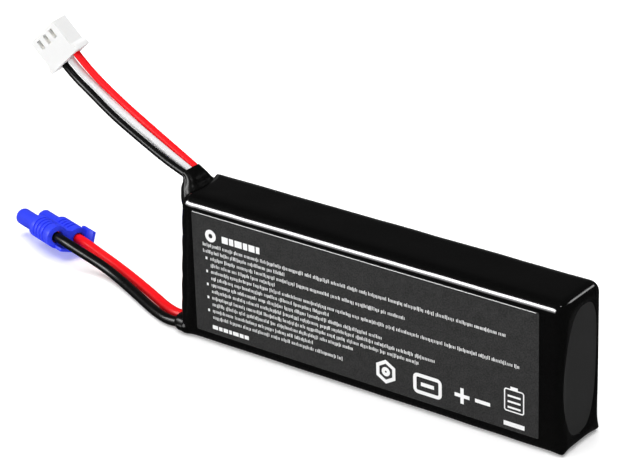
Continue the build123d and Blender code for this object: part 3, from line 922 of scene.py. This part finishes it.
    def _lip(self, last: list[Vector], before: list[Vector]) -> list[list[Vector]]:
        """Roll the film's cut edge into a fine round bead.

        Args:
            last: The ring at the lip.
            before: The ring just outside it.

        Returns:
            The rings of the bead, ending under the film.
        """
        count = len(last)
        rings: list[list[Vector]] = []
        for step in range(1, self.bead_steps + 1):
            angle = math.pi * step / self.bead_steps
            ring = []
            for k in range(count):
                inward = (last[k] - before[k]).normalized()
                along = (last[(k + 1) % count] - last[k - 1]).normalized()
                outward = inward.cross(along).normalized()
                if outward.x < 0:
                    outward = -outward
                middle = last[k] - outward * self.lip_bead
                ring.append(middle + self.lip_bead * (math.cos(angle) * outward + math.sin(angle) * inward))
            rings.append(ring)
        return rings

    def _inner_return(self) -> list[list[Vector]]:
        """Rings that carry the film's inner face back from the lip to inside the pack.

        Returns:
            The rings in order.
        """
        rings = []
        for k in range(1, self.return_steps + 1):
            share = 1 - math.sin(k / self.return_steps * math.pi / 2)
            ring = []
            for (y, z), (inner_y, inner_z) in zip(self._outline(), self._outline(self.film)):
                lip_y, lip_z = self._window_spot(y, z)
                spot_y = inner_y + (lip_y - inner_y) * share
                spot_z = inner_z + (lip_z - inner_z) * share
                fall = (self._crown(spot_y, spot_z) + self.film
                        + self.lip_depth * smooth_step(*self.sink_share, share))
                ring.append(Vector((self.high.x - fall, spot_y, spot_z)))
            rings.append(ring)
        rings.append([p - Vector((self.return_depth, 0, 0)) for p in rings[-1]])
        return rings

    def _fold_height(self, p: Vector) -> float:
        """How far the film stands out from its plain form at a point.

        Args:
            p: Point on the plain form, in millimetres.

        Returns:
            Height along the surface's outward direction, in millimetres.
        """
        half_y, half_z = self.half
        fade = self.label_fade
        off_label = 1 - (smooth_step(fade, 0.0, abs(p.x) - self.label_reach[0] + fade)
                         * smooth_step(fade, 0.0, abs(p.z - half_z) - self.label_reach[1] + fade)
                         * self._on_face(p.y, self.label_face))
        height = sum(noise.noise(p * tightness) * lift for tightness, lift in self.ripples) * off_label
        # Upright folds where the film is drawn in at the lead end.
        from_end = p.x - self._lead_face(p.z)
        across, up = p.y * self.sway_pace[0], p.z * self.sway_pace[1]
        sway = self.sway * noise.noise(Vector((self.sway_seed, across, up)))
        side = (self._on_face(p.y, self.fold_face) * smooth_step(*self.fold_foot, p.z)
                * smooth_step(*self.fold_head, p.z))
        for lift, place, width, share in self.folds:
            height += lift * side * hump(place + share * sway, width, from_end)
        # Pleats that run in to the seam on the lead end's face.
        facing = smooth_step(*self.pleat_facing, from_end)
        wander = noise.noise(Vector((p.y * self.pleat_pace[0], self.pleat_seed, p.z * self.pleat_pace[1])))
        pleat = math.sin(p.z * self.pleat_rate + self.pleat_wander * wander)
        height += self.pleat_height * facing * pleat * smooth_step(*self.pleat_start, abs(p.y))
        # The upper front edge is rounder towards the lead end, where the film has drawn in more.
        ease = self.ease[0] + self.ease[1] * smooth_step(self.high.x, self.low.x, p.x)
        off_edge = math.hypot(p.y + half_y - self.ease_inset, p.z - self.high.z + self.ease_inset)
        height -= ease * hump(0.0, self.ease_width, off_edge)
        # The bulge over the discharge leads, low on the lead end.
        bulge = hump(*self.bulge_x, p.x) * hump(*self.bulge_z, p.z) * smooth_step(*self.bulge_y, p.y)
        return height + self.bulge_height * bulge

    def _on_face(self, y: float, band: Spot) -> float:
        """How much a spot belongs to a broad face, rising over a band measured in from that face."""
        half_y, _ = self.half
        return smooth_step(half_y - band[0], half_y - band[1], abs(y))

    def _work_folds(self, bm: bmesh.types.BMesh, per_ring: int) -> None:
        """Push the outer rings out or in by the folds, and draw the two lower rear corners to a point.

        Args:
            bm: The sleeve's edit mesh, in ring order.
            per_ring: Number of points in a ring.
        """
        bm.normal_update()
        bm.verts.ensure_lookup_table()
        half_y, _ = self.half
        out, inward, lift = self.foot_tip
        tips = [(Vector((self.high.x + out, side * (half_y - inward), lift)), *self.foot_pull)
                for side in (-1, 1)]
        # The film is stretched square over the far upper corner by the leads' mouth.
        out, inward = self.top_tip
        corner = Vector((self._lead_face(self.high.z) + out, half_y - inward, self.high.z))
        tips.append((corner, *self.top_pull))
        for vertex in bm.verts:
            plain = vertex.co.copy()
            ring = vertex.index // per_ring
            if ring < self.outer_rings - 2:
                vertex.co += vertex.normal * self._fold_height(plain)
            for tip, share, reach in tips:
                vertex.co += (tip - plain) * share * hump(0.0, reach, (plain - tip).length)
            vertex.co.z = max(vertex.co.z, self.floor_gap)


# ---- label and its print ---------------------------------------------------------------------------------


class Print:
    """Flat ink shapes gathered into one mesh on one side of the pack."""

    SMALLEST_RADIUS = 0.05
    CORNER_STEPS = 4
    ROW_MARGIN = 1.2
    WORD_DASHES = (4, 17)
    TALL = (1.0, 1.0, 1.0, 1.38)
    DROP = (0.0, 0.0, 0.0, 0.0, 0.3)
    STROKE_SPREAD = (0.8, 1.25)
    DASH_PITCH = (2.0, 2.9)
    WORD_GAP = 0.55

    def __init__(self, surface_y: float, outward: int, thickness: float = 0.02) -> None:
        """Start an empty print.

        Args:
            surface_y: Where the label's face is, in millimetres.
            outward: -1 for the front and 1 for the back.
            thickness: Thickness of the ink, in millimetres.
        """
        self.bm = bmesh.new()
        self.surface_y = surface_y
        self.outward = outward
        self.thickness = thickness

    def shape(self, spots: Sequence[Spot]) -> None:
        """Lay down one filled outline.

        Args:
            spots: Its corners as (along the label as read, up), in millimetres.
        """
        layers = [[self.bm.verts.new((-self.outward * x, self.surface_y + self.outward * lift, z))
                   for x, z in spots] for lift in (0.0, self.thickness)]
        count = len(spots)
        for layer in layers:
            self.bm.faces.new(layer)
        for k in range(count):
            self.bm.faces.new((layers[0][k], layers[0][(k + 1) % count],
                               layers[1][(k + 1) % count], layers[1][k]))

    def blocks(self, left: float, low: float, height: float, widths: Sequence[float], gap: float) -> None:
        """Lay down a row of blocks, as a plain stand-in for a heading.

        Args:
            left: Where the row starts.
            low: Its foot.
            height: Its height.
            widths: Width of each block.
            gap: Space between blocks.
        """
        for width in widths:
            self.bar(left, low, width, height)
            left += width + gap

    def bar(self, left: float, low: float, width: float, height: float) -> None:
        """Lay down one filled rectangle from its lower left corner."""
        self.shape(((left, low), (left + width, low), (left + width, low + height), (left, low + height)))

    def band(self, outer: Sequence[Spot], inner: Sequence[Spot]) -> None:
        """Fill the band between two outlines that have as many corners.

        Args:
            outer: The outer outline.
            inner: The inner outline.
        """
        count = len(outer)
        for k in range(count):
            n = (k + 1) % count
            self.shape((outer[k], outer[n], inner[n], inner[k]))

    def ring(self, x: float, z: float, radius: float, width: float, corners: int, turn: float = 0.0) -> None:
        """Lay down a ring, round or with a few corners.

        Args:
            x: Its middle along the label.
            z: Its middle's height.
            radius: Its outer radius.
            width: Width of its line.
            corners: Number of corners.
            turn: Angle of its first corner, in degrees.
        """
        outlines = [[(x + r * math.cos(math.radians(turn) + 2 * math.pi * k / corners),
                      z + r * math.sin(math.radians(turn) + 2 * math.pi * k / corners))
                     for k in range(corners)] for r in (radius, radius - width)]
        self.band(outlines[0], outlines[1])

    def frame_box(self, left: float, low: float, width: float, height: float, line: float,
                  radius: float = 0.5) -> None:
        """Lay down the outline of a box with round corners.

        Args:
            left: Its left edge.
            low: Its lower edge.
            width: Its width.
            height: Its height.
            line: Width of its line.
            radius: Radius of its outer corners.
        """
        middle_x, middle_z = left + width / 2, low + height / 2
        outlines = []
        for inset in (0.0, line):
            spots = rounded_ring(width / 2 - inset, height / 2 - inset,
                                 max(radius - inset, self.SMALLEST_RADIUS), (2, 2), self.CORNER_STEPS)
            outlines.append([(middle_x + a, middle_z + b) for a, b in spots])
        self.band(outlines[0], outlines[1])

    def word_row(self, left: float, right: float, low: float, height: float, dice: random.Random,
                 stroke: float = 0.15) -> None:
        """Fill a row with upright dashes in groups, as a plain stand-in for small print.

        Args:
            left: Where the row starts.
            right: Where it has to stop.
            low: Its foot.
            height: Height of most dashes.
            dice: Source of the varied lengths.
            stroke: Width of one dash.
        """
        x = left
        while x < right - self.ROW_MARGIN:
            for _ in range(dice.randint(*self.WORD_DASHES)):
                tall = height * dice.choice(self.TALL)
                drop = height * dice.choice(self.DROP)
                self.bar(x, low - drop, stroke * dice.uniform(*self.STROKE_SPREAD), tall + drop)
                x += stroke * dice.uniform(*self.DASH_PITCH)
                if x > right:
                    break
            x += height * self.WORD_GAP

    def finish(self, name: str) -> bpy.types.Object:
        """Close the print into one piece."""
        return add_piece(name, mesh_from(name, self.bm, smooth_angle=30), LABEL_INK.material())


@dataclass
class Labels:
    """The dark labels' plain print: rows of dashes and simple signs, with no lettering. The pale line along
    the front label's top edge is a painted highlight of that edge.

    Bars are (left, foot, width, height). The signs' own are counted from the row of signs' lower
    left corner, and an outlined box adds its line's width and its corner radius.
    """

    line_width: float = 0.13
    # Inset and shortening of the pale line on the front label's top edge, which is a painted highlight of the
    # label's edge.
    edge_highlight_inset: float = 0.2
    edge_highlight_short: float = 0.9
    ring_sign: tuple[float, float, float, float, int] = (-40.5, 27.5, 1.5, 0.95, 24)
    heading: tuple[float, float, float] = (-37.3, 26.6, 1.6)
    heading_widths: tuple[float, ...] = (1.7, 1.2, 2.0, 1.2, 1.7, 1.0)
    heading_gap: float = 0.35
    foot: tuple[float, float, float] = (-41.1, 4.3, 0.95)
    foot_widths: tuple[float, ...] = (1.5, 1.0, 1.3, 0.8, 1.6, 1.1, 1.2)
    foot_gap: float = 0.3
    row_top: float = 24.7
    row_pitch: float = 1.62
    row_height: float = 0.62
    row_ends: tuple[float, ...] = (38.5, -20.0, 12.0, -23.0, 41.0, -8.0, 7.0, 19.5, 15.5, -2.0, -12.0, -4.0)
    left: float = -42.8
    intro_rows: int = 2
    indent: float = 2.0
    bullet: Spot = (0.6, 0.5)
    signs_corner: Spot = (3.6, 4.9)
    hexagon_middle: Spot = (3.2, 2.6)
    hexagon_rings: tuple[tuple[float, float, int, float], ...] = ((2.9, 0.95, 6, 30), (1.1, 0.85, 16, 0))
    box_outline: tuple[float, ...] = (10.4, -0.1, 7.4, 4.9, 0.85, 1.2)
    box_bar: Box = (12.4, 1.9, 3.4, 0.9)
    pole_middle: float = 23.0
    pole_pitch: float = 5.2
    pole_level: Box = (-1.9, 2.2, 3.8, 0.85)
    pole_uprights: tuple[Box, Box] = ((-0.42, 0.75, 0.84, 1.45), (-0.42, 3.05, 0.84, 1.45))
    battery_outline: tuple[float, ...] = (33.6, 2.6, 5.0, 5.4, 0.28, 0.6)
    battery_cap: Box = (35.2, 8.0, 1.8, 0.6)
    battery_level: Box = (34.5, 3.4, 3.2, 0.45)
    battery_pitch: float = 1.35
    battery_foot: Box = (33.5, -0.9, 5.2, 1.05)
    back_rule: tuple[float, float, float] = (-45.0, 0.6, 90.0)
    cell_left: float = -41.0
    cell_pitch: float = 14.5
    cell_outline: tuple[float, ...] = (9.0, 11.5, 17.5, 0.5, 1.4)
    cell_cap: Box = (3.4, 26.5, 4.7, 1.3)
    cell_level: Box = (2.0, 11.0, 7.5, 2.3)
    level_pitch: float = 3.6
    back_heading: tuple[Spot, ...] = ((-10.0, 9.0), (0.5, 14.0), (16.0, 5.5))
    back_heading_low: float = 22.2
    back_heading_height: float = 2.2
    back_rows: int = 7
    back_row_top: float = 19.0
    back_row_pitch: float = 2.0
    back_row_left: float = -10.0
    back_row_ends: Spot = (12.0, 40.0)
    back_row_height: float = 0.75
    back_stroke: float = 0.18
    squares: int = 5
    squares_left: float = 27.0
    squares_pitch: float = 3.0
    seed: int = 27

    def build(self) -> None:
        """Print both labels."""
        dice = random.Random(self.seed)
        self._front(dice)
        self._back(dice)

    def _front(self, dice: random.Random) -> None:
        """Print the front label: a painted highlight along its top edge, a ring sign, heading blocks, rows of
        dashes and four plain signs.

        Args:
            dice: Source of the dashes' varied lengths.
        """
        low, high = node_box("front_label")
        ink = Print(low.y, -1)
        # A pale ink line just under the label's top edge: a painted highlight where the edge catches the
        # light.
        ink.bar(low.x + self.edge_highlight_inset, high.z - self.edge_highlight_inset, high.x - low.x - self.edge_highlight_short,
                self.line_width)
        ink.ring(*self.ring_sign)
        ink.blocks(*self.heading, self.heading_widths, self.heading_gap)
        for row, end in enumerate(self.row_ends):
            listed = row >= self.intro_rows
            z = self.row_top - row * self.row_pitch
            if listed and row % 2 == 0:
                ink.bar(self.left + self.bullet[0], z, self.bullet[1], self.row_height)
            start = self.left + (self.indent if listed else 0.0)
            ink.word_row(start, end, z, self.row_height, dice)
        ink.blocks(*self.foot, self.foot_widths, self.foot_gap)
        self._signs(ink, *self.signs_corner)
        ink.finish("front_print")

    def _signs(self, ink: Print, left: float, low: float) -> None:
        """Lay a row of four plain signs: a ringed hexagon, a barred box, two poles and a battery.

        Args:
            ink: Print that they go on.
            left: Left edge of the first sign.
            low: Foot of the row.
        """
        def bar(box: Box, aside: float = left, above: float = low) -> None:
            """Lay down one of the signs' bars, counted from a corner."""
            ink.bar(aside + box[0], above + box[1], box[2], box[3])

        for ring in self.hexagon_rings:
            ink.ring(left + self.hexagon_middle[0], low + self.hexagon_middle[1], *ring)
        ink.frame_box(left + self.box_outline[0], low + self.box_outline[1], *self.box_outline[2:])
        bar(self.box_bar)
        for k, uprights in enumerate((self.pole_uprights, ())):
            middle = left + self.pole_middle + self.pole_pitch * k
            bar(self.pole_level, aside=middle)
            for upright in uprights:
                bar(upright, aside=middle)
        ink.frame_box(left + self.battery_outline[0], low + self.battery_outline[1],
                      *self.battery_outline[2:])
        bar(self.battery_cap)
        for k in range(3):
            x, z, width, height = self.battery_level
            ink.bar(left + x, low + z + self.battery_pitch * k, width, height)
        bar(self.battery_foot)

    def _back(self, dice: random.Random) -> None:
        """Print the back label: two cell outlines, a charge scale and rows of dashes.

        Args:
            dice: Source of the dashes' varied lengths.
        """
        _, high = node_box("back_label")
        ink = Print(high.y, 1)
        rule_left, rule_below, rule_width = self.back_rule
        ink.bar(rule_left, high.z - rule_below, rule_width, self.line_width)
        for k in range(2):
            left = self.cell_left + self.cell_pitch * k
            ink.frame_box(left, *self.cell_outline)
            x, z, width, height = self.cell_cap
            ink.bar(left + x, z, width, height)
            x, z, width, height = self.cell_level
            for level in range(4):
                ink.bar(left + x, z + self.level_pitch * level, width, height)
        low, height = self.back_heading_low, self.back_heading_height
        for left, width in self.back_heading:
            ink.bar(left, low, width, height)
        for row in range(self.back_rows):
            z = self.back_row_top - row * self.back_row_pitch
            ink.word_row(self.back_row_left, dice.uniform(*self.back_row_ends), z, self.back_row_height,
                         dice, self.back_stroke)
        for k in range(self.squares):
            ink.bar(self.squares_left + self.squares_pitch * k, low, height, height)
        ink.finish("back_print")


# ---- end pad and collars ---------------------------------------------------------------------------------


@dataclass
class EndPad:
    """The flat dark pad behind the window, with a soft rounded rim."""

    corner_radius: float = 4.6
    rim: float = 1.5
    sink: float = 0.05
    steps: int = 12
    side_steps: tuple[int, int] = (30, 10)
    corner_steps: int = 8
    gap: float = 0.15
    face_shares: tuple[float, ...] = (0.85, 0.6, 0.3, 0.04)
    hollow: float = 0.12

    def build(self) -> bpy.types.Object:
        """Shape the pad inside its CAD solid.

        Returns:
            The pad.
        """
        low, high = node_box("rear_end_pad")
        half_y, half_z = (high.y - low.y) / 2 - self.gap, (high.z - low.z) / 2 - self.gap
        middle_z = (high.z + low.z) / 2
        rings = []
        depth = high.x - low.x - self.sink
        for k in range(self.steps + 1):
            angle = math.pi / 2 * k / self.steps
            inset = self.rim * (1 - math.cos(angle))
            x = high.x - self.sink - self.rim * (1 - math.sin(angle))
            rings.append(self._ring(half_y - inset, half_z - inset, inset, x, middle_z))
        rings.insert(0, self._ring(half_y, half_z, 0.0, high.x - depth, middle_z))
        face = rings[-1]
        for share in self.face_shares:
            sag = self.hollow * (1 - share)
            rings.append([Vector((p.x - sag, p.y * share, middle_z + (p.z - middle_z) * share))
                          for p in face])
        bm = loft(rings)
        bm.verts.ensure_lookup_table()
        count = len(rings[0])
        bm.faces.new(list(bm.verts)[-count:])
        bm.faces.new(list(bm.verts)[:count])
        return add_piece("window_pad", mesh_from("window_pad", bm), PAD_FOAM.material(),
                         ("rear_end_pad",))

    def _ring(self, half_y: float, half_z: float, inset: float, x: float, middle_z: float) -> list[Vector]:
        """One ring of the pad at a place along X."""
        spots = rounded_ring(half_y, half_z, self.corner_radius - inset, self.side_steps, self.corner_steps)
        return [Vector((x, y, middle_z + z)) for y, z in spots]


@dataclass
class Collar:
    """A short mouth of shrink film drawn tight round leads where they come out.

    Each station is (place along X, height, half its width, half its depth, corner radius).
    """

    name: str
    node: str
    middle_y: float
    stations: Sequence[tuple[float, float, float, float, float]]
    root_shift: float = 0.0
    wrinkle: float = 0.12
    wall: float = 0.2
    seed: float = 3.0
    steps: int = 6
    rim_share: float = 0.4
    tuck: float = 1.5
    side_steps: tuple[int, int] = (6, 10)
    corner_steps: int = 6
    corner_gap: float = 0.05

    def build(self) -> bpy.types.Object:
        """Skin the mouth from its root to its rim, with fine wrinkles and an inner wall.

        Returns:
            The mouth.
        """
        rows = self._fine_stations()
        rings = [self._ring(rows, k, 0.0, 0.0) for k in range(len(rows))]
        last = len(rows) - 1
        rim = self.wall * self.rim_share
        rings += [self._ring(rows, last, rim, -rim), self._ring(rows, last, 0.0, -self.wall),
                  self._ring(rows, last, -self.tuck, -self.wall)]
        return add_piece(self.name, mesh_from(self.name, loft(rings), smooth_angle=60), DRAWN_FILM.material(),
                         (self.node,))

    def _fine_stations(self) -> list[tuple[float, ...]]:
        """Fill in stations between the given ones along a smooth curve.

        Returns:
            All the stations in order.
        """
        rows = []
        count = len(self.stations)
        for k in range(count - 1):
            before, here = self.stations[max(k - 1, 0)], self.stations[k]
            there, after = self.stations[k + 1], self.stations[min(k + 2, count - 1)]
            for step in range(self.steps):
                t = step / self.steps
                rows.append(tuple(
                    b + 0.5 * t * (c - a + t * (2 * a - 5 * b + 4 * c - d + t * (3 * (b - c) + d - a)))
                    for a, b, c, d in zip(before, here, there, after)))
        return [*rows, self.stations[-1]]

    def _ring(self, rows: Sequence[tuple[float, ...]], index: int, shift: float,
              grow: float) -> list[Vector]:
        """One ring of the mouth.

        Args:
            rows: All the stations.
            index: The ring's station.
            shift: How far it is moved on along the leads.
            grow: How much wider it is made on each side.

        Returns:
            Its points, in millimetres.
        """
        x, z, half_width, half_depth, radius = rows[index]
        before, after = rows[max(index - 1, 0)], rows[min(index + 1, len(rows) - 1)]
        forward = Vector((after[0] - before[0], 0, after[1] - before[1])).normalized()
        across = Vector((0, 1, 0))
        up = forward.cross(across)
        spots = rounded_ring(half_width + grow, half_depth + grow,
                             min(radius, half_depth + grow - self.corner_gap), self.side_steps,
                             self.corner_steps)
        ring = []
        for k, (a, b) in enumerate(spots):
            turn = 2 * math.pi * k / len(spots)
            crease = math.sin(5 * turn + self.seed + 0.3 * index) * 0.6 + math.sin(9 * turn + 1.7 * self.seed)
            swell = 1 + self.wrinkle * crease / (half_width + half_depth)
            middle = Vector((x, self.middle_y + self.root_shift * (1 - index / (len(rows) - 1)), z))
            ring.append(middle + forward * shift + across * a * swell + up * b * swell)
        return ring


BALANCE_STATIONS = (
    (-48.0, 31.6, 5.6, 3.0, 2.3), (-49.2, 33.2, 5.3, 2.7, 2.2), (-50.1, 34.8, 4.4, 2.3, 1.9),
    (-50.6, 36.3, 3.5, 1.85, 1.6), (-51.2, 37.3, 2.95, 1.3, 1.1), (-51.9, 37.85, 2.8, 1.1, 1.0))
DISCHARGE_STATIONS = (
    (-50.2, 2.15, 3.85, 1.95, 1.8), (-51.4, 2.1, 3.75, 1.95, 1.8), (-52.4, 2.0, 3.5, 1.85, 1.7),
    (-53.0, 1.9, 3.1, 1.7, 1.6))


# ---- plugs -----------------------------------------------------------------------------------------------


@dataclass
class MouldedPlug:
    """A plug housing moulded in one colour, with its contacts left as machined."""

    name: str
    housing: str
    finish: Finish
    slot: str
    edge: float
    metal: dict[str, Finish]

    def build(self) -> list[bpy.types.Object]:
        """Round the housing's moulded edges and dress its contacts.

        Returns:
            The housing and its contacts.
        """
        bm = softened_copy(self.housing, self.edge)
        housing = add_piece(self.name, mesh_from(self.name, bm, smooth_angle=32), self.finish.material(),
                            (self.housing,))
        contacts = [dress(node, finish) for node, finish in self.metal.items()]
        return [housing, *contacts]


def dress(node: str, finish: Finish) -> bpy.types.Object:
    """Give a CAD node its finish in every one of its material slots.

    Args:
        node: The node's name.
        finish: Finish to put on it.

    Returns:
        The node's object.
    """
    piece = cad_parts[node]
    for place in piece.material_slots:
        place.material = finish.material()
    if not piece.material_slots:
        piece.data.materials.append(finish.material())
    return piece


@dataclass(frozen=True)
class Inside:
    """The parts that the sleeve hides: cells, tabs, board, tape and sheets."""

    plain: tuple[tuple[str, Finish], ...] = (
        ("lead_end_insulator", FIBRE_SHEET), ("tab_sealant_films", SEALANT_FILM),
        ("cell_bond_pad", BOND_TAPE), ("cell_wrap_tape", POLYIMIDE_TAPE), ("tab_board", BOARD_LAMINATE),
        ("board_pads", COPPER), ("series_link", NICKEL), ("solder_joints", SOLDER),
        ("front_label", LABEL_FILM), ("back_label", LABEL_FILM))
    each_cell: tuple[tuple[str, Finish], ...] = (
        ("pouch", POUCH_FOIL), ("electrode_stack", ELECTRODE_STACK), ("positive_tab", ALUMINIUM_TAB),
        ("negative_tab", NICKEL))

    def dress(self) -> None:
        """Dress every kept CAD node."""
        for node, finish in self.plain:
            dress(node, finish)
        for number in (1, 2):
            for part, finish in self.each_cell:
                dress(f"cell_{number}_{part}", finish)


# ---- the whole pack ----------------------------------------------------------------------------------------


def main() -> None:
    """Build the studio and the pack, piece by piece."""
    logging.basicConfig(level=logging.INFO, format="%(name)s: %(message)s")
    Studio().build()
    low, _ = node_box("shrink_sleeve")
    leads = Leads(lead_x=low.x)
    leads.build()
    ShrinkSleeve().build()
    Labels().build()
    EndPad().build()
    balance_mouth = Collar("balance_mouth", "balance_exit_collar", 0.0, BALANCE_STATIONS,
                           root_shift=-0.2, wrinkle=0.07, seed=2.0)
    discharge_mouth = Collar("discharge_mouth", "discharge_exit_collar", -4.0, DISCHARGE_STATIONS,
                             wrinkle=0.08, seed=5.0)
    white_plug = MouldedPlug("balance_plug", "balance_plug_housing", WHITE_NYLON, "white_nylon", 0.14,
                             {"balance_plug_terminals": TINNED_BRASS})
    blue_plug = MouldedPlug("discharge_plug", "discharge_plug_housing", BLUE_NYLON, "blue_nylon", 0.16,
                            {"discharge_contact_positive": GOLD_BRASS,
                             "discharge_contact_negative": GOLD_BRASS})
    ({"balance": [balance_mouth.build(), *white_plug.build()],
                   "discharge": [discharge_mouth.build(), *blue_plug.build()]})
    Inside().dress()


if __name__ == "__main__":
    main()
